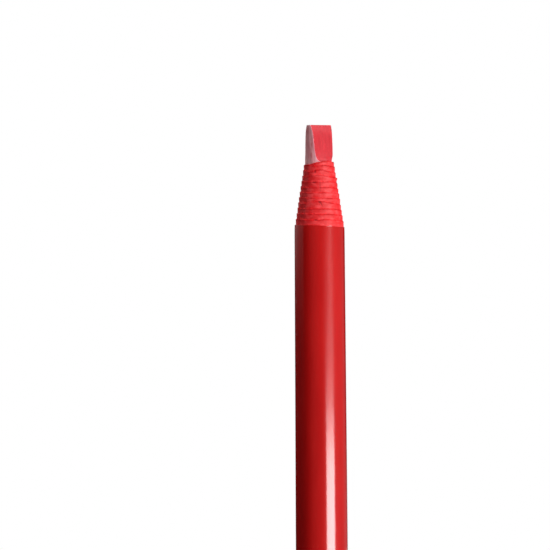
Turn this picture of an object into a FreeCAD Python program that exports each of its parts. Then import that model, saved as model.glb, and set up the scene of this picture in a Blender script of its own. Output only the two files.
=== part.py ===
"""Peel-off wax marking pencil, made like the real one.

A round wax lead runs the whole length. A cotton tear string is pressed into its back. Paper is
rolled around both, more than eleven turns of it, and scored along a spiral into ribbons, each
wound inside the next like a stack of thin cones. A coated paper label is glued around the roll.
The tip is shaved to a chisel, and the first ribbon shows as a stepped cone.

Millimetres. The pencil stands on its butt end: +Z is the axis, and the tip is up. The origin is
the centre of the butt end. Angles are in degrees from +X towards +Y: the front is -Y.
"""
import FreeCAD
import Part
import math
import os

FRONT_ANGLE = 270.0
BACK_ANGLE = 90.0

# Overall
TOTAL_LENGTH = 165.0
BARREL_RADIUS = 4.5

# Wax lead and its chisel tip
LEAD_RADIUS = 2.42
CHISEL_ANGLE = -50.0
# Half thickness of the chisel at each depth below the tip, and where the blade comes out
CHISEL_HALF_THICKNESS = [
    (0.0, 0.48), (1.2, 0.88), (3.6, 1.17), (5.4, 1.42), (6.1, 1.64), (6.4, 1.85),
]
CHISEL_RUN_OUT = (6.7, 2.5)

# Tear string, pressed into the wax
STRING_RADIUS = 0.19
STRING_ANGLE = 84.0
STRING_STANDS_OUT = 0.05
STRING_GROOVE_PLAY = 0.02

# Paper roll: it starts at the lead, just right of the front, and ends at the back
PAPER_TOP = 158.76
INNER_END_ANGLE = 292.0
WHOLE_TURNS = 11
TURN_STEP = 0.935
TURN_GAP = 0.02
LEAD_CLEARANCE = 0.01

# Score lines: the last one runs out of the butt end at the front, after this many turns
SECTION_COUNT = 23
SCORE_WIDTH = 0.03
LAST_SCORE_TURNS = 4
LAST_RIBBON_SHORT_BY = 90.0

# Label, glued with a lap seam at the back
LABEL_THICKNESS = 0.08
LABEL_CLEARANCE = 0.01
LABEL_TOP = 147.41
LABEL_TOP_TILT = 3.1
LAP_ARC = 40.0
LAP_RAMP_ARC = 9.0
LAP_GLUE_THICKNESS = 0.005

# The barrel is a true cylinder up to TAPER_START, slims slowly, and is drawn in at its neck
TAPER_START = 95.0
TAPER_DEPTH = 0.155
NECK_START = 145.5
NECK_DEPTH = 0.045
NECK_STEPS = 4

# Winding angle between the points of a winding curve, and the small part of it that finds slopes
WINDING_STEP = 20.0
SLOPE_STEP = 0.01

TURN = 360.0
ROLL_INNER_RADIUS = LEAD_RADIUS + LEAD_CLEARANCE
# Winding angles count on from the paper's inner end, more than one turn's worth
FIRST_FRONT = FRONT_ANGLE + TURN - INNER_END_ANGLE
OUTER_END = WHOLE_TURNS * TURN + (BACK_ANGLE + TURN - INNER_END_ANGLE)
LAST_SCORE_END = FIRST_FRONT + LAST_SCORE_TURNS * TURN


def polar(radius, angle, height):
    """Point at a radius and an angle from the axis."""
    turn = math.radians(angle)
    return FreeCAD.Vector(radius * math.cos(turn), radius * math.sin(turn), height)


def fraction(value, start, stop):
    """How far value is from start to stop, from 0 to 1."""
    return min(1.0, max(0.0, (value - start) / (stop - start)))


def score_drop(winding):
    """How far a score line has come down after this winding angle.

    It comes down TURN_STEP a turn, fastest at the two sides and level at the front and the back.
    """
    from_front = math.radians(winding - FIRST_FRONT)
    at_start = math.radians(FIRST_FRONT)
    swing = math.sin(2 * from_front) + math.sin(2 * at_start)
    return TURN_STEP * (winding / TURN - swing / (4 * math.pi))


# Top edge of the outermost turn of the first ribbon, where the stepped cone ends
CONE_FOOT = PAPER_TOP - score_drop(OUTER_END)
SECTION_WIDTH = (PAPER_TOP - score_drop(LAST_SCORE_END)) / (SECTION_COUNT - 1)


def barrel_radius(height):
    """Outer radius of the label."""
    slow = fraction(height, TAPER_START, CONE_FOOT)
    neck = fraction(height, NECK_START, CONE_FOOT)
    return BARREL_RADIUS - TAPER_DEPTH * slow - NECK_DEPTH * neck ** 2


def turn_pitch(height):
    """Radial distance from one turn of paper to the next, so that the roll fills the label."""
    roll_radius = barrel_radius(height) - LABEL_THICKNESS - LABEL_CLEARANCE
    return (roll_radius + TURN_GAP - ROLL_INNER_RADIUS) / (OUTER_END / TURN + 1)


def winding_point(winding, height_at, layer):
    """Point on a ribbon's edge: layer is 0 on the ribbon's inner face and 1 on its outer face."""
    height = height_at(winding)
    pitch = turn_pitch(height)
    radius = ROLL_INNER_RADIUS + pitch * winding / TURN + layer * (pitch - TURN_GAP)
    return polar(radius, INNER_END_ANGLE + winding, height)


def winding_edge(start, stop, height_at, layer):
    """One edge of a ribbon between two winding angles, through points with their true slopes."""
    count = max(2, math.ceil((stop - start) / WINDING_STEP))
    windings = [start + (stop - start) * index / count for index in range(count + 1)]
    points = [winding_point(winding, height_at, layer) for winding in windings]
    slopes = []
    for winding in windings:
        before = winding_point(winding - SLOPE_STEP, height_at, layer)
        after = winding_point(winding + SLOPE_STEP, height_at, layer)
        slopes.append((after - before) / math.radians(2 * SLOPE_STEP))
    curve = Part.BSplineCurve()
    curve.interpolate(
        Points=points,
        Parameters=[math.radians(winding) for winding in windings],
        Tangents=slopes,
        TangentFlags=[True] * len(slopes),
        Scale=False,
    )
    return curve.toShape()


def ribbon(top_at, bottom_at, last_winding):
    """Wound strip of paper between two score lines, as one closed solid."""
    fronts = [FIRST_FRONT + TURN * turn for turn in range(WHOLE_TURNS)]
    breaks = [0.0] + [front for front in fronts if front < last_winding] + [last_winding]
    faces = []
    spans = []
    for start, stop in zip(breaks, breaks[1:]):
        inner_top = winding_edge(start, stop, top_at, 0)
        outer_top = winding_edge(start, stop, top_at, 1)
        outer_bottom = winding_edge(start, stop, bottom_at, 1)
        inner_bottom = winding_edge(start, stop, bottom_at, 0)
        loop = [inner_top, outer_top, outer_bottom, inner_bottom]
        for edge, neighbour in zip(loop, loop[1:] + loop[:1]):
            faces.append(Part.makeRuledSurface(edge, neighbour))
        spans.append(loop)
    first_corners = [edge.firstVertex().Point for edge in spans[0]]
    last_corners = [edge.lastVertex().Point for edge in spans[-1]]
    for corners in (first_corners, last_corners):
        faces.append(Part.Face(Part.makePolygon(corners + corners[:1])))
    shell = Part.makeShell(faces)
    shell.sewShape()
    solid = Part.makeSolid(shell)
    if solid.Volume < 0:
        solid.reverse()
    return solid


def peel_section(number):
    """Ribbon between score lines number - 1 and number, counted from the tip."""
    highest = PAPER_TOP - SECTION_WIDTH * (number - 1)
    lowest = highest - SECTION_WIDTH
    top_score = SCORE_WIDTH if number > 1 else 0.0
    last_winding = OUTER_END if number < SECTION_COUNT else LAST_SCORE_END - LAST_RIBBON_SHORT_BY

    def top_at(winding):
        return highest - top_score - score_drop(winding)

    def bottom_at(winding):
        return max(0.0, lowest - score_drop(winding))

    return ribbon(top_at, bottom_at, last_winding)


def chisel_cutter():
    """Tool for one shaved side of the tip, made at the +X side of the axis."""
    curve_points = []
    for depth, half_thickness in CHISEL_HALF_THICKNESS:
        curve_points.append(FreeCAD.Vector(half_thickness, 0, TOTAL_LENGTH - depth))
    run_out = FreeCAD.Vector(CHISEL_RUN_OUT[1], 0, TOTAL_LENGTH - CHISEL_RUN_OUT[0])
    curve_points.append(run_out)
    shave = Part.BSplineCurve()
    shave.interpolate(curve_points)
    reach = 2 * LEAD_RADIUS
    top_inner = curve_points[0] + FreeCAD.Vector(0, 0, reach)
    top_outer = FreeCAD.Vector(reach, 0, top_inner.z)
    bottom_outer = FreeCAD.Vector(reach, 0, run_out.z)
    straight = Part.makePolygon([run_out, bottom_outer, top_outer, top_inner, curve_points[0]])
    outline = Part.Wire([shave.toShape()] + straight.Edges)
    tool = Part.Face(outline).extrude(FreeCAD.Vector(0, 2 * reach, 0))
    tool.translate(FreeCAD.Vector(0, -reach, 0))
    return tool


def string_centre():
    """Where the string's axis crosses the butt end."""
    return polar(LEAD_RADIUS + STRING_STANDS_OUT - STRING_RADIUS, STRING_ANGLE, 0)


def wax_lead():
    """Round lead with its two shaved sides and the groove that the string presses in."""
    lead = Part.makeCylinder(LEAD_RADIUS, TOTAL_LENGTH)
    groove = Part.makeCylinder(STRING_RADIUS + STRING_GROOVE_PLAY, TOTAL_LENGTH)
    groove.translate(string_centre())
    lead = lead.cut(groove)
    for side in (0.0, 180.0):
        cutter = chisel_cutter()
        cutter.rotate(FreeCAD.Vector(0, 0, 0), FreeCAD.Vector(0, 0, 1), CHISEL_ANGLE + side)
        lead = lead.cut(cutter)
    return lead.Solids[0]


def tear_string():
    """Cotton string between the lead and the paper, as long as the paper."""
    string = Part.makeCylinder(STRING_RADIUS, PAPER_TOP - score_drop(TURN / 2))
    string.translate(string_centre())
    return string


def arc(radius, start, stop, height):
    """Level arc around the axis from one angle to another."""
    middle = (start + stop) / 2
    ends = [polar(radius, angle, height) for angle in (start, middle, stop)]
    return Part.Arc(*ends).toShape()


def label_heights():
    """Heights between which the label's outside runs straight, from the taper's start upwards."""
    rise = CONE_FOOT - NECK_START
    return [TAPER_START] + [NECK_START + rise * step / NECK_STEPS for step in range(NECK_STEPS + 1)]


def label_outline(height):
    """Outside of the label at a height, with the step where its end laps over its own start."""
    outer = barrel_radius(height)
    lapped = outer + LAP_GLUE_THICKNESS + LABEL_THICKNESS
    lap_end = BACK_ANGLE + LAP_ARC
    lap_start = BACK_ANGLE + TURN
    ramp_foot = lap_start - LAP_RAMP_ARC
    ramp_ends = [polar(outer, ramp_foot, height), polar(lapped, lap_start, height)]
    step_ends = [polar(lapped, lap_end, height), polar(outer, lap_end, height)]
    return Part.Wire([
        arc(outer, lap_end, ramp_foot, height),
        Part.LineSegment(*ramp_ends).toShape(),
        arc(lapped, BACK_ANGLE, lap_end, height),
        Part.LineSegment(*step_ends).toShape(),
    ])


def label_bore():
    """Tool for the inside of the label, one paper thickness in from its outside all the way up."""
    heights = [0.0] + label_heights()
    corners = [FreeCAD.Vector(0, 0, 0)]
    for height in heights:
        corners.append(FreeCAD.Vector(barrel_radius(height) - LABEL_THICKNESS, 0, height))
    corners.append(FreeCAD.Vector(0, 0, heights[-1]))
    profile = Part.Face(Part.makePolygon(corners + corners[:1]))
    return profile.revolve(FreeCAD.Vector(0, 0, 0), FreeCAD.Vector(0, 0, 1), TURN)


def label_sleeve():
    """Label glued around the roll: a cylinder, a slow taper and a drawn-in neck, cut aslant."""
    cylinder = Part.Face(label_outline(0)).extrude(FreeCAD.Vector(0, 0, TAPER_START))
    taper = Part.makeLoft([label_outline(height) for height in label_heights()], True, True)
    reach = 2 * BARREL_RADIUS
    corner = FreeCAD.Vector(-reach, -reach, LABEL_TOP)
    knife = Part.makeBox(2 * reach, 2 * reach, reach, corner)
    knife.rotate(FreeCAD.Vector(0, 0, LABEL_TOP), FreeCAD.Vector(0, 1, 0), LABEL_TOP_TILT)
    sleeve = cylinder.fuse(taper).cut(label_bore()).cut(knife)
    return sleeve.removeSplitter().Solids[0]


def write_parts(parts):
    """Write one STEP file per part and print its volume."""
    os.makedirs("parts", exist_ok=True)
    for name, shape in parts.items():
        shape.exportStep(os.path.join("parts", name + ".step"))
        print(f"{name}: {shape.ShapeType}, valid {shape.isValid()}, {shape.Volume:.3f} mm3")


def main():
    parts = {
        "wax_lead": wax_lead(),
        "tear_string": tear_string(),
        "label_sleeve": label_sleeve(),
    }
    for number in range(1, SECTION_COUNT + 1):
        parts[f"peel_section_{number:02d}"] = peel_section(number)
    write_parts(parts)


main()
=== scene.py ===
"""Looks of the peel-off wax marking pencil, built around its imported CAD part.

The pencil stands on its butt end at the origin, the tip is up and the front is -Y. Lengths are in
millimetres and are scaled to metres when a mesh is made; only the lamps are placed in metres.
Angles are in degrees from +X to +Y.
"""
import bpy
import math
import numpy as np
from mathutils import Matrix, Vector

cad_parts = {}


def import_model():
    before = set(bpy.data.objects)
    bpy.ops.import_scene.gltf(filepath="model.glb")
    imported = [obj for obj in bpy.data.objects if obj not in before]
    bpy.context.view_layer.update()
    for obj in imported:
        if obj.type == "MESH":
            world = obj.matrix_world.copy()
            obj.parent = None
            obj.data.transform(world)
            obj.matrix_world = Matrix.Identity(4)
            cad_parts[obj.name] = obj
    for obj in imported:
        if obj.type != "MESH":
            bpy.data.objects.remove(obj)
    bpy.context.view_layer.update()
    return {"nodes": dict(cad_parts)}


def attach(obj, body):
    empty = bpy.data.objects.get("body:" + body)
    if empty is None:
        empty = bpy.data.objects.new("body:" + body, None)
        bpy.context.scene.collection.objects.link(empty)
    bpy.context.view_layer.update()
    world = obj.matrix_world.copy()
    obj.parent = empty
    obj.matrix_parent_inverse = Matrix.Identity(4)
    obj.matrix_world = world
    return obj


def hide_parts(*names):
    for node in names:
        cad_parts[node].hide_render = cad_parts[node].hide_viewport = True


MM = 0.001
TURN = 360.0
FRONT_ANGLE = 270.0
BACK_ANGLE = 90.0

# Overall
TOTAL_LENGTH = 165.0
BARREL_RADIUS = 4.5

# Wax lead and its chisel tip
LEAD_RADIUS = 2.42
CHISEL_ANGLE = -50.0
# Half thickness of the chisel at each depth below the tip; past the last depth the lead is round
CHISEL_DEPTHS = [0.0, 1.2, 3.6, 5.4, 6.1, 6.4, 6.7]
CHISEL_HALF_THICKNESS = [0.48, 0.88, 1.17, 1.42, 1.64, 1.85, 2.5]
CORNER_ROUNDING = 0.022
TIP_ROUNDING = 0.06
TIP_ROUNDING_ARCS = [30.0, 60.0, 90.0]
# The cut across the tip is this much higher on the right than in the middle, down to a depth
TIP_SLANT = 0.05
TIP_SLANT_DEPTH = 1.0
# Rings of the lead: points in each, few of them inside the paper, and a small step between those
# higher up. The small steps start this many turns below the top of the paper
LEAD_AROUND = 480
LEAD_HIDDEN_RINGS = 12
LEAD_STEP = 0.07
LEAD_SHOWN_TURNS = 2

# Marks in the wax: how fast they change for a degree round it and for a millimetre along it, and
# their ripple
SHAVE_MARKS = {"round": 9.0, "along": 0.3, "seed": 4, "waves": (1.0, 2.3, 3.9), "strength": 0.004}
SKIN_LUMPS = {"round": 0.12, "along": 0.5, "seed": 8, "waves": (1.0, 1.7, 2.9), "strength": 0.008}
RIM_CHIPS = {"round": 0.0, "along": 4.0, "seed": 15, "waves": (1.0, 2.1, 3.7, 6.1), "strength": 0.02}
# Where the shaved face and its pale rim begin and end, by how far the cut lies inside the round skin.
# The rim is painted paler, partly as the cut's own rim and partly as painted sheen of the bloom there
SHAVED_BAND = (-0.02, 0.04)
RIM_SHEEN_BAND = (-0.28, -0.04)
# The rim's outer side is this many times more chipped than the shaved face
RIM_CHIPPING = 3
# Keeps the flat's radius finite at right angles to it
LEAST_FACING = 0.02

# Thumb mark where the lead leaves the paper, on its right side
THUMB_ANGLE = 2.0
THUMB_HALF_ARC = 42.0
THUMB_DEPTH = 0.20
THUMB_FROM = 5.0
THUMB_TO = 6.4
THUMB_FADES_AT = 10.0

# Tear string
STRING_RADIUS = 0.19
STRING_ANGLE = 84.0
STRING_STANDS_OUT = 0.05
STRING_GROOVE_PLAY = 0.02
STRING_PLIES = 3
STRING_LAY = 2.4
STRING_STEPS = 640
PLY_SIDES = 7

# Paper roll
PAPER_TOP = 158.76
INNER_END_ANGLE = 292.0
WHOLE_TURNS = 11
TURN_STEP = 0.935
TURN_GAP = 0.02
LEAD_CLEARANCE = 0.01
SECTION_COUNT = 23
SCORE_WIDTH = 0.03
LAST_SCORE_TURNS = 4
LAST_RIBBON_SHORT_BY = 90.0
RIBBON_STEP = 1.5

# A ribbon's outer face has a ring at each of these distances below its cut edge. A narrow ribbon's
# rings are drawn together, into this share of its width
RING_DROPS = np.array([0.0, 0.03, 0.07, 0.13, 0.22, 0.34, 0.50, 0.70, 0.92, 1.20, 1.60, 2.40])
RINGS_SHARE = 0.9
# The cut edge's outer corner is worn off by a share of the thickness, down to a depth
CORNER_WEAR = 0.35
CORNER_WEAR_DEPTH = 0.10
# Points across the cut edge: share of the thickness, and height over the edge
CUT_PROFILE = [(0.45, 0.012), (0.10, -0.01), (0.0, -0.05)]
# Shade painted along the cut edge, where the turn steps out over the one inside it, is full at the
# first depth and gone at the second
STEP_SHADE_BAND = (0.02, 0.34)
NICK_DEPTH = 0.05

# Torn tongue at the start of the first ribbon, left of the roll's inner end. Its top climbs between
# two winding angles
TONGUE_ARC = 84.0
TONGUE_DROP = 1.02
TONGUE_THICKNESS = 0.07
TONGUE_CLIMB_FROM = -109.2
TONGUE_CLIMB_TO = 18.0

# How the first ribbon's cut edge strays up and down: a slow and a fine ripple, which CRUMPLING
# makes stronger before the first winding angle and not at all after the second. The torn tongue
# strays less, and the edge strays fully from a winding angle
SLOW_STRAY = {"seed": 21, "waves": (0.37, 1.9, 3.3, 5.2), "strength": 0.045}
FINE_STRAY = {"seed": 33, "waves": (11.0, 17.0, 29.0, 41.0), "strength": 0.018}
CRUMPLING = 1.3
CRUMPLED_WINDINGS = (400.0, 1300.0)
STRAYS_FULLY_AT = 40.0
# A hump at the front of one turn, whose rise and fall are in degrees past that front
HUMP_TURN = 1
HUMP_HEIGHT = 0.14
HUMP_RISE = (-14.0, -9.0)
HUMP_FALL = (6.0, 28.0)
# A dip to the right of the roll's inner end
DIP_DEPTH = 0.10
DIP_WINDING = 75.0
DIP_HALF_ARC = 45.0
# Turns whose cut edge runs high at the front, and by how much
RAISED_TURNS = [(2, 0.24), (7, 0.38)]
RAISED_HALF_ARC = 60.0

# How the cut edge stands off the turn inside it: everywhere, and by ripples that press in at most so
# far. It lies flat again between two depths
STANDS_OFF = 0.012
PRESSED_IN = 0.02
SLOW_LIFT = {"seed": 52, "waves": (2.2, 3.7, 6.1, 9.4), "strength": 0.016}
FINE_LIFT = {"seed": 57, "waves": (14.0, 19.0, 27.0), "strength": 0.008}
LIFT_FADES = (0.1, 1.0)

# Nicks, splits and creases of the cut edge, each with shade painted into it. The turn counts from 0 at
# the first front, past_front is in degrees towards the right, lean is in degrees per millimetre below
# the edge. A dark value over 1 widens the middle where the painted shade is full
EDGE_MARKS = [
    {"turn": 3, "past_front": -17.0, "half_arc": 11.0, "length": 0.30, "lean": 0.0, "dark": 1.3},
    {"turn": 1, "past_front": -16.0, "half_arc": 5.0, "length": 0.45, "lean": 4.0, "dark": 0.8},
    {"turn": 3, "past_front": 2.0, "half_arc": 3.0, "length": 1.2, "lean": 0.0, "dark": 0.35},
    {"turn": 4, "past_front": 2.5, "half_arc": 3.0, "length": 1.2, "lean": 0.0, "dark": 0.35},
    {"turn": 7, "past_front": 0.5, "half_arc": 4.5, "length": 0.36, "lean": 0.0, "dark": 1.3},
    {"turn": 7, "past_front": 0.5, "half_arc": 2.0, "length": 0.85, "lean": 9.0, "dark": 1.3},
    {"turn": 10, "past_front": -10.0, "half_arc": 6.0, "length": 0.22, "lean": 0.0, "dark": 1.0},
]
# Each mark fades over the last part of its length, from this share on
MARK_FADES_FROM = 0.6
# Loose fibres that stand out on the right of one turn, and lie flat again between two depths
BURR_TURN = 2
BURR_PAST_FRONT = 92.0
BURR_HALF_ARC = 17.0
BURR_HEIGHT = 0.13
BURR_FADES = (0.05, 0.45)

# Label
LABEL_THICKNESS = 0.08
LABEL_CLEARANCE = 0.01
LABEL_TOP = 147.41
LABEL_TOP_TILT = 3.1
LAP_ARC = 40.0
LAP_RAMP_ARC = 9.0
LAP_GLUE_THICKNESS = 0.005
LABEL_AROUND_STEP = 2.0
# Rings up the straight barrel, the taper and the neck, the last of them this far below the top edge
LABEL_RINGS = (24, 20, 10)
LABEL_RINGS_END = 0.4
# The rings start to follow the slanted top edge this far below the neck
LABEL_TILT_FADE = 20
LABEL_TOP_RIPPLE = {"seed": 71, "waves": (3.0, 5.0, 9.0, 14.0), "strength": 0.02}
# Points across the label's cut edges: share of its thickness, height over the edge, and how pale
# the bare paper shows
LABEL_FOOT = [(0.0, 0.0, 1.0), (0.9, 0.0, 1.0), (1.0, 0.03, 0.0)]
LABEL_HEAD = [
    (1.0, -0.20, 0.0), (1.0, -0.06, 0.0), (0.9, -0.015, 0.0), (0.6, 0.0, 0.3), (0.0, -0.01, 0.3),
]

# Barrel: a cylinder, then a slow taper and a drawn-in neck
TAPER_START = 95.0
TAPER_DEPTH = 0.155
NECK_START = 145.5
NECK_DEPTH = 0.045

ROLL_INNER_RADIUS = LEAD_RADIUS + LEAD_CLEARANCE
# Winding angles count on from the paper's inner end, more than one turn's worth
FIRST_FRONT = FRONT_ANGLE + TURN - INNER_END_ANGLE
OUTER_END = WHOLE_TURNS * TURN + (BACK_ANGLE + TURN - INNER_END_ANGLE)
LAST_SCORE_END = FIRST_FRONT + LAST_SCORE_TURNS * TURN

# Camera: level with the upper barrel, looking up a little, with the pencil right of the middle
CAMERA_DISTANCE = 900.0
CAMERA_PITCH = 0.95
CAMERA_ROLL = 0.40
VIEW_WIDTH = 95.5
VIEW_CENTRE_HEIGHT = 138.97
VIEW_CENTRE_LEFT = 7.79
SENSOR_WIDTH = 36.0

# Floor card, just under the butt end so that the two faces don't meet
FLOOR_RADIUS = 320.0
FLOOR_THICKNESS = 1.0
FLOOR_GAP = 0.02
FLOOR_SIDES = 128

# Creases sharper than these angles stay crisp
WAX_CREASE = 60.0
PAPER_CREASE = 50.0
FLOOR_CREASE = 30.0

# Colours from one end of a mottling to the other
FRESH_WAX = [(0.54, 0.013, 0.024), (0.62, 0.019, 0.031)]
WAX_SKIN = [(0.72, 0.17, 0.185), (1.0, 0.42, 0.46)]
PLAIN_PAPER = [(0.82, 0.009, 0.013), (0.90, 0.017, 0.022)]
LABEL_INK = [(0.555, 0.0065, 0.0065), (0.60, 0.0085, 0.0080)]
COTTON = [(0.66, 0.61, 0.53), (0.86, 0.83, 0.76)]
PALE_CARD = [(0.80, 0.80, 0.80), (0.84, 0.84, 0.84)]
# Single colours
WAX_DUST = (0.98, 0.50, 0.53)
# Paler rim along the shaved corner: partly the cut's own rim, partly painted sheen of the bloom
RIM_AND_SHEEN = (0.95, 0.36, 0.46)
# Paler, whiter colour painted on the paper as highlights
HIGHLIGHT_BLOTCH = (1.0, 0.072, 0.080)
# Painted shade in the step along each cut edge
STEP_SHADE = (0.60, 0.003, 0.006)
# Painted shade in the nicks, splits and creases of the cut edges
NICK_SHADE = (0.36, 0.003, 0.005)
PAPER_SHEEN = (1.0, 0.12, 0.14)
LABEL_CUT = (0.62, 0.30, 0.27)
WHITE = (1.0, 1.0, 1.0)
# A colour mixer's sockets go by number, because its sockets for other kinds have the same names
MIX_FIRST, MIX_SECOND = 6, 7
MIX_RESULT = 2


# ---------------------------------------------------------------- numbers

def smooth(value, start, stop):
    """0 before start, 1 after stop, and a smooth ramp between."""
    t = np.clip((np.asarray(value, float) - start) / (stop - start), 0.0, 1.0)
    return t * t * (3 - 2 * t)


def bell(value, centre, half_width):
    """1 at the centre, falling smoothly to 0 at half_width from it."""
    return 1 - smooth(np.abs(np.asarray(value, float) - centre), 0.0, half_width)


def ripple(values, seed, waves, strength):
    """Smooth random waviness along one line: a sum of sines with random phases."""
    random = np.random.default_rng(seed)
    total = np.zeros_like(np.asarray(values, float))
    for wave in waves:
        total += np.sin(np.asarray(values) * wave + random.uniform(0, 2 * math.pi))
    return strength * total / math.sqrt(len(waves))


def curve_through(value, places, numbers):
    """Smooth curve through a few points, by cubic pieces with averaged slopes."""
    places = np.asarray(places, float)
    numbers = np.asarray(numbers, float)
    slopes = np.gradient(numbers, places)
    value = np.clip(value, places[0], places[-1])
    piece = np.clip(np.searchsorted(places, value, side="right") - 1, 0, len(places) - 2)
    width = places[piece + 1] - places[piece]
    t = (value - places[piece]) / width
    rise = t * t * (3 - 2 * t)
    start_pull = t * (1 - t) ** 2 * width * slopes[piece]
    end_pull = t * t * (t - 1) * width * slopes[piece + 1]
    return numbers[piece] * (1 - rise) + numbers[piece + 1] * rise + start_pull + end_pull


def turned_from(angles, centre):
    """Degrees from a centre to each angle, between -180 and 180."""
    return (angles - centre + TURN / 2) % TURN - TURN / 2


def marks(angles, heights, pattern):
    """Ripple over a round surface, by one of the patterns of marks in the wax."""
    line = angles * pattern["round"] + heights * pattern["along"]
    return ripple(line, pattern["seed"], pattern["waves"], pattern["strength"])


def score_drop(winding):
    """How far a score line has come down after this winding angle.

    It comes down TURN_STEP a turn, fastest at the two sides and level at the front and the back.
    """
    winding = np.asarray(winding, float)
    past_front = np.radians(winding - FIRST_FRONT)
    swing = np.sin(2 * past_front) + math.sin(2 * math.radians(FIRST_FRONT))
    return TURN_STEP * (winding / TURN - swing / (4 * math.pi))


CONE_FOOT = PAPER_TOP - float(score_drop(OUTER_END))
SECTION_WIDTH = (PAPER_TOP - float(score_drop(LAST_SCORE_END))) / (SECTION_COUNT - 1)


def barrel_radius(height):
    """Outer radius of the label."""
    slow = np.clip((height - TAPER_START) / (CONE_FOOT - TAPER_START), 0, 1)
    neck = np.clip((height - NECK_START) / (CONE_FOOT - NECK_START), 0, 1)
    return BARREL_RADIUS - TAPER_DEPTH * slow - NECK_DEPTH * neck ** 2


def turn_pitch(height):
    """Radial distance from one turn of paper to the next, so that the roll fills the label."""
    roll_radius = barrel_radius(height) - LABEL_THICKNESS - LABEL_CLEARANCE
    return (roll_radius + TURN_GAP - ROLL_INNER_RADIUS) / (OUTER_END / TURN + 1)


# ---------------------------------------------------------------- meshes

def polar(radius, angle, height):
    """Points in millimetres from arrays of radius, angle in degrees and height."""
    turn = np.radians(angle)
    x = radius * np.cos(turn)
    y = radius * np.sin(turn)
    return np.stack(np.broadcast_arrays(x, y, height), -1)


def grid_faces(rows, columns, flip=False):
    """Quads of a grid of points whose last column joins its first."""
    row, column = np.meshgrid(np.arange(rows - 1), np.arange(columns), indexing="ij")
    after = (column + 1) % columns
    here = row * columns
    above = (row + 1) * columns
    corners = [here + column, here + after, above + after, above + column]
    if flip:
        corners.reverse()
    return np.stack(corners, -1).reshape(-1, 4)


def end_caps(rows, columns, flip=False):
    """The polygons that close a grid of points at its first row and its last."""
    first = list(range(columns))
    last = list(range((rows - 1) * columns, rows * columns))
    if flip:
        return [first, last[::-1]]
    return [first[::-1], last]


def make_mesh(name, points, quads, polygons=(), values=None):
    """New object from points in millimetres, quads and other polygons.

    values holds one number per point for each named attribute.
    """
    mesh = bpy.data.meshes.new(name)
    faces = [tuple(quad) for quad in quads.tolist()] + [tuple(polygon) for polygon in polygons]
    mesh.from_pydata((np.asarray(points).reshape(-1, 3) * MM).tolist(), [], faces)
    for key, numbers in (values or {}).items():
        attribute = mesh.attributes.new(key, "FLOAT", "POINT")
        attribute.data.foreach_set("value", np.asarray(numbers, np.float32).ravel())
    mesh.validate()
    mesh.shade_smooth()
    piece = bpy.data.objects.new(name, mesh)
    bpy.context.scene.collection.objects.link(piece)
    return piece


def sharpen(piece, degrees):
    """Keep edges sharper than this angle crisp."""
    piece.data.set_sharp_from_angle(angle=math.radians(degrees))


# ---------------------------------------------------------------- materials

class Maker:
    """Small helper that adds nodes to one material."""

    def __init__(self, name):
        self.material = bpy.data.materials.new(name)
        self.material.use_nodes = True
        self.tree = self.material.node_tree
        self.shader = self.tree.nodes["Principled BSDF"]

    def node(self, kind, **settings):
        """New shader node with these settings."""
        made = self.tree.nodes.new(kind)
        for key, value in settings.items():
            setattr(made, key, value)
        return made

    def join(self, source, target):
        """Link an output to an input."""
        self.tree.links.new(source, target)

    def fix(self, name, number):
        """Give one of the shader's inputs a plain number or colour."""
        self.shader.inputs[name].default_value = number

    def drive(self, name, value):
        """Join a value or a colour to one of the shader's inputs."""
        self.join(value, self.shader.inputs[name])

    def place(self, stretch):
        """Object coordinates in millimetres, stretched along each axis."""
        where = self.node("ShaderNodeTexCoord")
        scaled = self.node("ShaderNodeMapping")
        scaled.inputs["Scale"].default_value = [factor / MM for factor in stretch]
        self.join(where.outputs["Object"], scaled.inputs["Vector"])
        return scaled.outputs["Vector"]

    def noise(self, stretch, detail=4.0, roughness=0.55):
        """Noise whose cells are one over stretch millimetres wide."""
        made = self.node("ShaderNodeTexNoise")
        made.inputs["Scale"].default_value = 1.0
        made.inputs["Detail"].default_value = detail
        made.inputs["Roughness"].default_value = roughness
        self.join(self.place(stretch), made.inputs["Vector"])
        return made.outputs["Fac"]

    def attribute(self, name):
        """One of the values that each point of the mesh carries."""
        made = self.node("ShaderNodeAttribute", attribute_name=name)
        return made.outputs["Fac"]

    def spread(self, value, low, high, to_low=0.0, to_high=1.0):
        """Value from low..high stretched to to_low..to_high and kept inside it."""
        made = self.node("ShaderNodeMapRange")
        made.inputs["From Min"].default_value = low
        made.inputs["From Max"].default_value = high
        made.inputs["To Min"].default_value = to_low
        made.inputs["To Max"].default_value = to_high
        self.join(value, made.inputs["Value"])
        return made.outputs["Result"]

    def times(self, first, second):
        """Product of two values."""
        made = self.node("ShaderNodeMath", operation="MULTIPLY")
        self.join(first, made.inputs[0])
        self.join(second, made.inputs[1])
        return made.outputs["Value"]

    def mix(self, factor, first, second):
        """Colour from first to second; each is a colour or a socket."""
        made = self.node("ShaderNodeMix", data_type="RGBA")
        self.join(factor, made.inputs["Factor"])
        for number, colour in ((MIX_FIRST, first), (MIX_SECOND, second)):
            if isinstance(colour, tuple):
                made.inputs[number].default_value = (*colour, 1.0)
            else:
                self.join(colour, made.inputs[number])
        return made.outputs[MIX_RESULT]

    def bump(self, heights):
        """Bumps one after another from pairs of a value and its height in millimetres."""
        normal = None
        for value, height in heights:
            made = self.node("ShaderNodeBump")
            made.inputs["Strength"].default_value = 1.0
            made.inputs["Distance"].default_value = height * MM
            self.join(value, made.inputs["Height"])
            if normal is not None:
                self.join(normal, made.inputs["Normal"])
            normal = made.outputs["Normal"]
        self.drive("Normal", normal)


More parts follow.
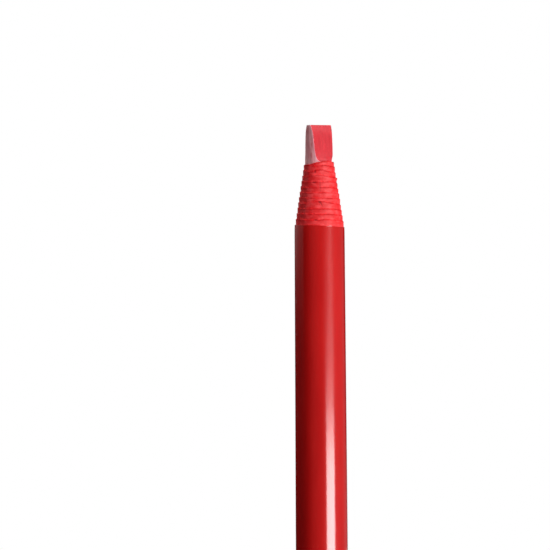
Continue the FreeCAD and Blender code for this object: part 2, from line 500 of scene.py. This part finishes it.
def wax_material():
    """Bright freshly shaved flats and a dusty grey-mauve skin, by the value called shaved, and a paler
    rim along the cut that is partly painted sheen.
    """
    wax = Maker("wax_red")
    shaved = wax.attribute("shaved")
    rim = wax.attribute("rim")
    streaks = wax.noise((3.2, 3.2, 0.10), detail=5.0, roughness=0.6)
    dust = wax.noise((1.3, 1.3, 0.55), detail=6.0, roughness=0.65)
    fresh = wax.mix(wax.spread(streaks, 0.35, 0.65), *FRESH_WAX)
    bloom = wax.mix(wax.spread(streaks, 0.3, 0.7), *WAX_SKIN)
    skin = wax.mix(wax.spread(dust, 0.42, 0.72), bloom, WAX_DUST)
    # Paler rim along the shaved corner: partly the cut's own rim, partly painted sheen of the bloom
    skin_and_rim_sheen = wax.mix(rim, skin, RIM_AND_SHEEN)
    wax.drive("Base Color", wax.mix(shaved, skin_and_rim_sheen, fresh))
    wax.drive("Roughness", wax.spread(streaks, 0.2, 0.8, to_low=0.42, to_high=0.62))
    wax.fix("Specular IOR Level", 0.35)
    grit = wax.noise((9.0, 9.0, 7.0), detail=3.0)
    wax.bump([(streaks, 0.03), (grit, 0.012)])
    return wax.material


def peel_material():
    """Matte dyed paper with a fibrous grain, paler blotches painted on as highlights, and shade
    painted along each cut edge and into its nicks.
    """
    paper = Maker("peel_paper_red")
    edge = paper.attribute("edge")
    grain = paper.noise((2.4, 2.4, 5.5), detail=5.0, roughness=0.6)
    blotches = paper.noise((0.9, 0.9, 1.6), detail=3.0, roughness=0.5)
    breaks = paper.noise((0.7, 0.7, 1.2), detail=4.0, roughness=0.6)
    plain = paper.mix(paper.spread(grain, 0.3, 0.7), *PLAIN_PAPER)
    # Paler, whiter blotches painted at random over the paper as highlights
    highlight_blotched = paper.mix(paper.spread(blotches, 0.42, 0.68), plain, HIGHLIGHT_BLOTCH)
    # Shade painted in the step along each cut edge, broken up at random
    line = paper.times(edge, paper.spread(breaks, 0.38, 0.62, to_low=0.10))
    step_shaded = paper.mix(line, highlight_blotched, STEP_SHADE)
    # Shade painted into the nicks, splits and creases
    nick_shaded = paper.mix(paper.attribute("nick"), step_shaded, NICK_SHADE)
    paper.drive("Base Color", nick_shaded)
    paper.drive("Specular IOR Level", paper.spread(edge, 0.0, 1.0, to_low=0.42, to_high=0.05))
    paper.fix("Roughness", 0.6)
    paper.fix("Diffuse Roughness", 0.8)
    paper.fix("Sheen Weight", 0.25)
    paper.fix("Sheen Roughness", 0.6)
    paper.fix("Sheen Tint", (*PAPER_SHEEN, 1.0))
    paper.bump([(grain, 0.022), (blotches, 0.014)])
    return paper.material


def label_material():
    """Red ink under a clear gloss coat, with faint mottling and very slight waviness."""
    label = Maker("label_paper_red")
    mottle = label.noise((0.55, 0.55, 0.12), detail=4.0, roughness=0.5)
    fine = label.noise((6.0, 6.0, 6.0), detail=3.0, roughness=0.5)
    ink = label.mix(label.spread(mottle, 0.35, 0.65), *LABEL_INK)
    label.drive("Base Color", label.mix(label.attribute("edge"), ink, LABEL_CUT))
    label.drive("Coat Roughness", label.spread(fine, 0.3, 0.7, to_low=0.12, to_high=0.16))
    label.fix("Roughness", 0.42)
    label.fix("Specular IOR Level", 0.08)
    label.fix("Coat Weight", 1.0)
    label.bump([(mottle, 0.022), (fine, 0.002)])
    return label.material


def string_material():
    """Undyed cotton with fibres along the plies."""
    cotton = Maker("cotton_natural")
    fibre = cotton.noise((14.0, 14.0, 3.0), detail=4.0, roughness=0.6)
    cotton.drive("Base Color", cotton.mix(cotton.spread(fibre, 0.3, 0.7), *COTTON))
    cotton.fix("Roughness", 0.9)
    cotton.fix("Sheen Weight", 0.3)
    cotton.bump([(fibre, 0.02)])
    return cotton.material


def floor_material():
    """Plain pale card."""
    card = Maker("pale_card")
    grain = card.noise((0.4, 0.4, 0.4), detail=4.0, roughness=0.5)
    card.drive("Base Color", card.mix(grain, *PALE_CARD))
    card.fix("Roughness", 0.9)
    return card.material


# ---------------------------------------------------------------- wax lead

def lead_heights():
    """Heights of the rings of the lead: close together on the bare end, few inside the paper."""
    hidden_top = PAPER_TOP - LEAD_SHOWN_TURNS * TURN_STEP
    rounding_foot = TOTAL_LENGTH - TIP_ROUNDING
    hidden = np.linspace(0.0, hidden_top, LEAD_HIDDEN_RINGS)
    count = math.ceil((rounding_foot - hidden_top) / LEAD_STEP)
    shown = np.linspace(hidden_top, rounding_foot, count + 1)[1:]
    rounded = TOTAL_LENGTH - TIP_ROUNDING * (1 - np.sin(np.radians(TIP_ROUNDING_ARCS)))
    return np.concatenate([hidden, shown, rounded])


def soft_minimum(first, second, rounding):
    """The smaller of two values, with a rounded corner where they meet."""
    gap = first - second
    return (first + second - np.sqrt(gap * gap + rounding * rounding)) / 2


def thumb_mark(angles, depth):
    """How deep the wax is pressed in by the thumb mark."""
    away = np.abs(turned_from(angles, THUMB_ANGLE))
    pressed = smooth(depth, THUMB_FROM, THUMB_TO) * (1 - smooth(depth, THUMB_TO, THUMB_FADES_AT))
    return THUMB_DEPTH * bell(away, 0.0, THUMB_HALF_ARC) * pressed


def lead_section(heights, angles):
    """Radius of the lead, how much of each point is shaved, and how close it is to the flat's rim,
    which is painted paler, partly as sheen.
    """
    depth = TOTAL_LENGTH - heights
    half = curve_through(depth, CHISEL_DEPTHS, CHISEL_HALF_THICKNESS)
    facing = np.abs(np.cos(np.radians(angles - CHISEL_ANGLE)))
    flat = half / np.maximum(facing, LEAST_FACING) + marks(angles, heights, SHAVE_MARKS)
    skin = LEAD_RADIUS + marks(angles, heights, SKIN_LUMPS)
    radius = soft_minimum(skin, flat, CORNER_ROUNDING) - thumb_mark(angles, depth)
    chips = marks(angles, heights, RIM_CHIPS)
    shaved = smooth(skin - flat + chips, *SHAVED_BAND)
    # Band along the shaved corner that is painted paler, partly as sheen
    rim = (1 - shaved) * smooth(skin - flat + RIM_CHIPPING * chips, *RIM_SHEEN_BAND)
    tip = np.clip((heights - (TOTAL_LENGTH - TIP_ROUNDING)) / TIP_ROUNDING, 0, 1)
    radius = radius - TIP_ROUNDING * (1 - np.sqrt(np.maximum(0.0, 1 - tip * tip)))
    return radius, shaved, rim


def string_centre():
    """Distance of the string's axis from the lead's axis."""
    return LEAD_RADIUS + STRING_STANDS_OUT - STRING_RADIUS


def grooved(angles, radius):
    """Radius of the lead with the string's groove pressed into it."""
    away = np.radians(turned_from(angles, STRING_ANGLE))
    centre = string_centre()
    reach = STRING_RADIUS + STRING_GROOVE_PLAY
    inside = reach ** 2 - (centre * np.sin(away)) ** 2
    near = centre * np.cos(away) - np.sqrt(np.maximum(inside, 0.0))
    return np.where((inside > 0) & (np.cos(away) > 0), np.minimum(radius, near), radius)


def wax_lead():
    """Bare end shaved to a chisel, the groove at the back, and the flat butt end."""
    heights = lead_heights()
    angles = np.arange(LEAD_AROUND) * TURN / LEAD_AROUND
    z, a = np.meshgrid(heights, angles, indexing="ij")
    radius, shaved, rim = lead_section(z, a)
    radius = grooved(a, radius)
    points = polar(radius, a, z)
    slant = TIP_SLANT * smooth(z, TOTAL_LENGTH - TIP_SLANT_DEPTH, TOTAL_LENGTH)
    points[..., 2] += slant * (points[..., 0] / LEAD_RADIUS - 1.0)
    shaved[-1] = 1.0
    rim[-1] = 0.0
    quads = grid_faces(len(heights), LEAD_AROUND)
    caps = end_caps(len(heights), LEAD_AROUND)
    piece = make_mesh("wax_lead_body", points, quads, caps, {"shaved": shaved, "rim": rim})
    sharpen(piece, WAX_CREASE)
    return piece


# ---------------------------------------------------------------- tear string

def tear_string():
    """Plies of cotton twisted round each other, as long as the paper at the back."""
    length = PAPER_TOP - float(score_drop(TURN / 2))
    ply_radius = STRING_RADIUS / (1 + 1 / math.sin(math.pi / STRING_PLIES))
    lay_radius = STRING_RADIUS - ply_radius
    middle = polar(string_centre(), STRING_ANGLE, 0.0)
    heights = np.linspace(0.0, length, STRING_STEPS + 1)
    sides = np.arange(PLY_SIDES) * 2 * math.pi / PLY_SIDES
    z, side = np.meshgrid(heights, sides, indexing="ij")
    points = []
    quads = []
    caps = []
    for ply in range(STRING_PLIES):
        twist = 2 * math.pi * (heights / STRING_LAY + ply / STRING_PLIES)
        x = middle[0] + lay_radius * np.cos(twist)[:, None] + ply_radius * np.cos(side)
        y = middle[1] + lay_radius * np.sin(twist)[:, None] + ply_radius * np.sin(side)
        first = ply * len(heights) * PLY_SIDES
        points.append(np.stack([x, y, z], -1).reshape(-1, 3))
        quads.append(grid_faces(len(heights), PLY_SIDES) + first)
        for cap in end_caps(len(heights), PLY_SIDES):
            caps.append([first + corner for corner in cap])
    return make_mesh("tear_string_plies", np.concatenate(points), np.concatenate(quads), caps)


# ---------------------------------------------------------------- paper ribbons

def ribbon_mesh(name, windings, tops, bottoms, start_thickness=1.0, wave=None, dark=None):
    """Wound strip with a worn upper corner.

    tops and bottoms are heights at each winding angle. start_thickness is the share of its full
    thickness that a torn tongue starts with. wave(windings, below) is how far the outer face bulges
    at a distance below the top, and dark(windings, below) is how much shade is painted into its nicks
    there.
    """
    thin = start_thickness + (1 - start_thickness) * smooth(windings, -TONGUE_ARC, 0.0)
    turns = np.maximum(windings, 0.0) / TURN
    squeeze = np.minimum(1.0, RINGS_SHARE * (tops - bottoms) / RING_DROPS[-1])
    radii = []
    levels = []
    edges = []
    nicks = []

    def add(radius, height, edge, nick=0.0):
        radii.append(radius)
        levels.append(height)
        edges.append(np.full_like(height, edge))
        nicks.append(np.zeros_like(height) + nick)

    def inner_and_thickness(height):
        pitch = turn_pitch(height)
        return ROLL_INNER_RADIUS + pitch * turns, (pitch - TURN_GAP) * thin

    foot_inner, foot_thickness = inner_and_thickness(bottoms)
    head_inner, head_thickness = inner_and_thickness(tops)
    add(foot_inner + foot_thickness, bottoms, 0.0)
    for drop in RING_DROPS[::-1]:
        height = tops - drop * squeeze
        inner, thickness = inner_and_thickness(height)
        corner = CORNER_WEAR * head_thickness * (1 - smooth(drop, 0.0, CORNER_WEAR_DEPTH))
        bulge = wave(windings, drop) if wave else 0.0
        nick = np.minimum(dark(windings, drop), 1.0) if dark else 0.0
        outer = inner + thickness - corner + bulge - NICK_DEPTH * nick
        # The edge value paints shade along the cut edge, where this turn steps out over the one inside
        # it
        add(outer, height, 1 - smooth(drop, *STEP_SHADE_BAND), nick)
    for share, lift in CUT_PROFILE:
        add(head_inner + share * head_thickness, tops + lift, 1.0)
    add(foot_inner, bottoms, 0.0)
    radius = np.stack(radii, 1)
    points = polar(radius, INNER_END_ANGLE + windings[:, None], np.stack(levels, 1))
    values = {"edge": np.stack(edges, 1), "nick": np.stack(nicks, 1)}
    quads = grid_faces(*radius.shape, flip=True)
    caps = end_caps(*radius.shape, flip=True)
    piece = make_mesh(name, points, quads, caps, values)
    sharpen(piece, PAPER_CREASE)
    return piece


def degrees_past_front(windings, turn):
    """Degrees of winding from the front of a turn."""
    return windings - (FIRST_FRONT + TURN * turn)


def nick_shade(windings, below):
    """Shade painted into the paper where a cut edge is nicked, split or creased."""
    dark = np.zeros_like(windings)
    for mark in EDGE_MARKS:
        centre = mark["past_front"] + mark["lean"] * below
        near = bell(degrees_past_front(windings, mark["turn"]), centre, mark["half_arc"])
        fade = 1 - smooth(below, MARK_FADES_FROM * mark["length"], mark["length"])
        dark += mark["dark"] * near * fade
    return dark


def strayed(windings):
    """How far the first ribbon's cut edge strays from the even spiral, in millimetres."""
    turned = np.radians(windings)
    past = degrees_past_front(windings, HUMP_TURN)
    crumpled = 1 - smooth(windings, *CRUMPLED_WINDINGS)
    hump = smooth(past, *HUMP_RISE) * (1 - smooth(past, *HUMP_FALL))
    stray = ripple(turned, **SLOW_STRAY) + ripple(turned, **FINE_STRAY)
    stray *= 1 + CRUMPLING * crumpled
    stray += HUMP_HEIGHT * hump - DIP_DEPTH * bell(windings, DIP_WINDING, DIP_HALF_ARC)
    for turn, height in RAISED_TURNS:
        stray += height * bell(degrees_past_front(windings, turn), 0.0, RAISED_HALF_ARC)
    return stray


def lifted(windings, below):
    """How far the first ribbon stands off the turn inside it, with a burr at one place."""
    turned = np.radians(windings)
    lift = np.maximum(ripple(turned, **SLOW_LIFT) + ripple(turned, **FINE_LIFT), -PRESSED_IN)
    near_burr = bell(degrees_past_front(windings, BURR_TURN), BURR_PAST_FRONT, BURR_HALF_ARC)
    burr = BURR_HEIGHT * near_burr * (1 - smooth(below, *BURR_FADES))
    return (STANDS_OFF + lift) * (1 - smooth(below, *LIFT_FADES)) + burr


def first_ribbon():
    """Outer ribbon whose stepped turns make the cone, with its torn start."""
    windings = np.arange(-TONGUE_ARC, OUTER_END + RIBBON_STEP / 2, RIBBON_STEP)
    even = PAPER_TOP - score_drop(np.maximum(windings, 0.0))
    torn = 1 - smooth(windings, TONGUE_CLIMB_FROM, TONGUE_CLIMB_TO)
    tops = even - TONGUE_DROP * torn
    tops += strayed(windings) * smooth(windings, -TONGUE_ARC, STRAYS_FULLY_AT)
    start_thickness = TONGUE_THICKNESS / (turn_pitch(PAPER_TOP) - TURN_GAP)
    return ribbon_mesh("peel_section_01_strip", windings, tops, even - SECTION_WIDTH,
                       start_thickness, lifted, nick_shade)


def last_ribbons():
    """The two ribbons whose ends show on the butt end."""
    pieces = []
    for number in (SECTION_COUNT - 1, SECTION_COUNT):
        highest = PAPER_TOP - SECTION_WIDTH * (number - 1)
        last = OUTER_END if number < SECTION_COUNT else LAST_SCORE_END - LAST_RIBBON_SHORT_BY
        windings = np.arange(0.0, last + RIBBON_STEP, 2 * RIBBON_STEP)
        drop = score_drop(windings)
        tops = highest - SCORE_WIDTH - drop
        bottoms = np.maximum(0.0, highest - SECTION_WIDTH - drop)
        pieces.append(ribbon_mesh(f"peel_section_{number:02d}_strip", windings, tops, bottoms))
    return pieces


# ---------------------------------------------------------------- label

def label_heights():
    """Heights of the label's rings between its cut edges."""
    up_barrel, up_taper, up_neck = LABEL_RINGS
    return np.concatenate([
        np.linspace(0.0, TAPER_START, up_barrel)[1:],
        np.linspace(TAPER_START, NECK_START, up_taper)[1:],
        np.linspace(NECK_START, LABEL_TOP - LABEL_RINGS_END, up_neck)[1:],
    ])


def label_sleeve():
    """One strip of coated paper round the roll, lapped over its own start at the back."""
    lap_start = BACK_ANGLE + TURN
    angles = np.arange(BACK_ANGLE, lap_start + LAP_ARC + LABEL_AROUND_STEP / 2, LABEL_AROUND_STEP)
    lift = (LABEL_THICKNESS + LAP_GLUE_THICKNESS) * smooth(angles, lap_start - LAP_RAMP_ARC, lap_start)
    slope = math.tan(math.radians(LABEL_TOP_TILT))
    tops = LABEL_TOP - barrel_radius(LABEL_TOP) * np.cos(np.radians(angles)) * slope
    tops += ripple(np.radians(angles), **LABEL_TOP_RIPPLE)
    level_ring = np.zeros_like(angles)
    radii = []
    levels = []
    edges = []

    def add(layer, height, edge):
        radii.append(barrel_radius(height) - LABEL_THICKNESS * (1 - layer) + lift)
        levels.append(height)
        edges.append(np.full_like(height, edge))

    for layer, rise, edge in LABEL_FOOT:
        add(layer, level_ring + rise, edge)
    for height in label_heights():
        follows = smooth(height, NECK_START - LABEL_TILT_FADE, LABEL_TOP)
        add(1.0, height + (tops - LABEL_TOP) * follows, 0.0)
    for layer, rise, edge in LABEL_HEAD:
        add(layer, tops + rise, edge)
    for height in (NECK_START, TAPER_START):
        add(0.0, level_ring + height, 0.0)
    radius = np.stack(radii, 1)
    points = polar(radius, angles[:, None], np.stack(levels, 1))
    quads = grid_faces(*radius.shape, flip=True)
    caps = end_caps(*radius.shape, flip=True)
    piece = make_mesh("label_sleeve_strip", points, quads, caps, {"edge": np.stack(edges, 1)})
    sharpen(piece, PAPER_CREASE)
    return piece


# ---------------------------------------------------------------- stage

def aim(thing, target):
    """Turn an object's -Z towards a point."""
    thing.rotation_mode = "QUATERNION"
    thing.rotation_quaternion = (Vector(target) - thing.location).to_track_quat("-Z", "Y")


def softbox(name, azimuth, distance, height, size, power, target_height=0.12, **seen):
    """Area light that points at the axis, placed in metres and degrees.

    Azimuth 0 is the camera's side and 90 is the pencil's right. seen says which rays meet the light.
    """
    light = bpy.data.lights.new(name, "AREA")
    light.shape = "RECTANGLE"
    light.size, light.size_y = size
    light.energy = power
    box = bpy.data.objects.new(name, light)
    turn = math.radians(azimuth)
    box.location = (distance * math.sin(turn), -distance * math.cos(turn), height)
    bpy.context.scene.collection.objects.link(box)
    aim(box, (0, 0, target_height))
    box.visible_camera = False
    for ray, on in seen.items():
        setattr(box, "visible_" + ray, on)


def lights():
    """Lamps without gloss light the matte colours, and those without diffuse make the highlights."""
    softbox("key_right", azimuth=47, distance=0.70, height=0.24, size=(0.30, 0.50),
            power=5.85, glossy=False)
    softbox("gloss_strip", azimuth=42, distance=0.28, height=0.059, size=(0.190, 0.10),
            power=1.0, target_height=0.082, diffuse=False)
    softbox("paper_gloss", azimuth=62, distance=0.45, height=0.62, size=(0.30, 0.30),
            power=4.2, target_height=0.155, diffuse=False)
    softbox("gloss_haze", azimuth=88, distance=0.60, height=0.16, size=(1.40, 0.60),
            power=0.55, diffuse=False)
    softbox("rim_left", azimuth=243, distance=0.60, height=0.30, size=(0.90, 0.30),
            power=0.24, diffuse=False)
    softbox("fill_front", azimuth=-25, distance=0.80, height=0.30, size=(0.60, 0.60),
            power=0.70, glossy=False)
    softbox("fill_left", azimuth=-100, distance=0.22, height=0.32, size=(0.20, 0.20),
            power=0.16, target_height=0.155, glossy=False)
    softbox("fill_back", azimuth=190, distance=0.80, height=0.25, size=(0.60, 0.60),
            power=4.6, glossy=False)
    softbox("gloss_back", azimuth=150, distance=0.28, height=0.02, size=(0.12, 0.08),
            power=0.35, target_height=0.06, diffuse=False)
    softbox("fill_top", azimuth=0, distance=0.05, height=0.90, size=(0.70, 0.70),
            power=4.0, glossy=False)


def camera():
    """Long lens with a little roll, so that the pencil leans as it stands in view."""
    data = bpy.data.cameras.new("camera")
    data.sensor_width = SENSOR_WIDTH
    data.lens = SENSOR_WIDTH * CAMERA_DISTANCE / VIEW_WIDTH
    data.dof.use_dof = False
    eye = bpy.data.objects.new("camera", data)
    pitch = math.radians(CAMERA_PITCH)
    eye.location = (
        -VIEW_CENTRE_LEFT * MM,
        -CAMERA_DISTANCE * math.cos(pitch) * MM,
        (VIEW_CENTRE_HEIGHT - CAMERA_DISTANCE * math.sin(pitch)) * MM,
    )
    level_and_pitch = Matrix.Rotation(math.radians(90.0) + pitch, 4, "X")
    roll = Matrix.Rotation(math.radians(-CAMERA_ROLL), 4, "Z")
    eye.rotation_mode = "QUATERNION"
    eye.rotation_quaternion = (level_and_pitch @ roll).to_quaternion()
    bpy.context.scene.collection.objects.link(eye)
    bpy.context.scene.camera = eye


def white_world():
    """White seen by the camera only; the softboxes do the lighting."""
    world = bpy.data.worlds.new("white")
    world.use_nodes = True
    background = world.node_tree.nodes["Background"]
    background.inputs["Color"].default_value = (*WHITE, 1.0)
    background.inputs["Strength"].default_value = 1.0
    bpy.context.scene.world = world
    for ray in ("diffuse", "glossy", "transmission", "scatter"):
        setattr(world.cycles_visibility, ray, False)


def floor():
    """Pale round card that the pencil stands on. It throws no light up onto the barrel."""
    angles = np.arange(FLOOR_SIDES) * TURN / FLOOR_SIDES
    points = [polar(FLOOR_RADIUS, angles, height) for height in (-FLOOR_THICKNESS, 0.0)]
    quads = grid_faces(len(points), FLOOR_SIDES)
    caps = end_caps(len(points), FLOOR_SIDES)
    card = make_mesh("floor_card", np.stack(points), quads, caps)
    sharpen(card, FLOOR_CREASE)
    card.location.z = -FLOOR_GAP * MM
    card.data.materials.append(floor_material())
    card.visible_diffuse = False


# ---------------------------------------------------------------- whole scene


def wear(piece, material, node):
    """Give a piece its material, hang it under the root body and hide the CAD node that it stands for.
    """
    piece.data.materials.append(material)
    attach(piece, "root")
    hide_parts(node)


def main():
    """Make each visible piece, give the sealed ribbons their paper, and set the stage."""
    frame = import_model()
    bpy.context.scene.view_settings.view_transform = "Standard"
    wax = wax_material()
    peel = peel_material()
    wear(wax_lead(), wax, "wax_lead")
    wear(tear_string(), string_material(), "tear_string")
    wear(label_sleeve(), label_material(), "label_sleeve")
    wear(first_ribbon(), peel, "peel_section_01")
    shown = {"wax_lead", "tear_string", "label_sleeve", "peel_section_01"}
    for piece in last_ribbons():
        node = piece.name.replace("_strip", "")
        wear(piece, peel, node)
        shown.add(node)
    sealed = [node for name, node in frame["nodes"].items() if name not in shown]
    for node in sealed:
        node.data.materials.clear()
        node.data.materials.append(peel)
    floor()
    lights()
    white_world()
    camera()


main()
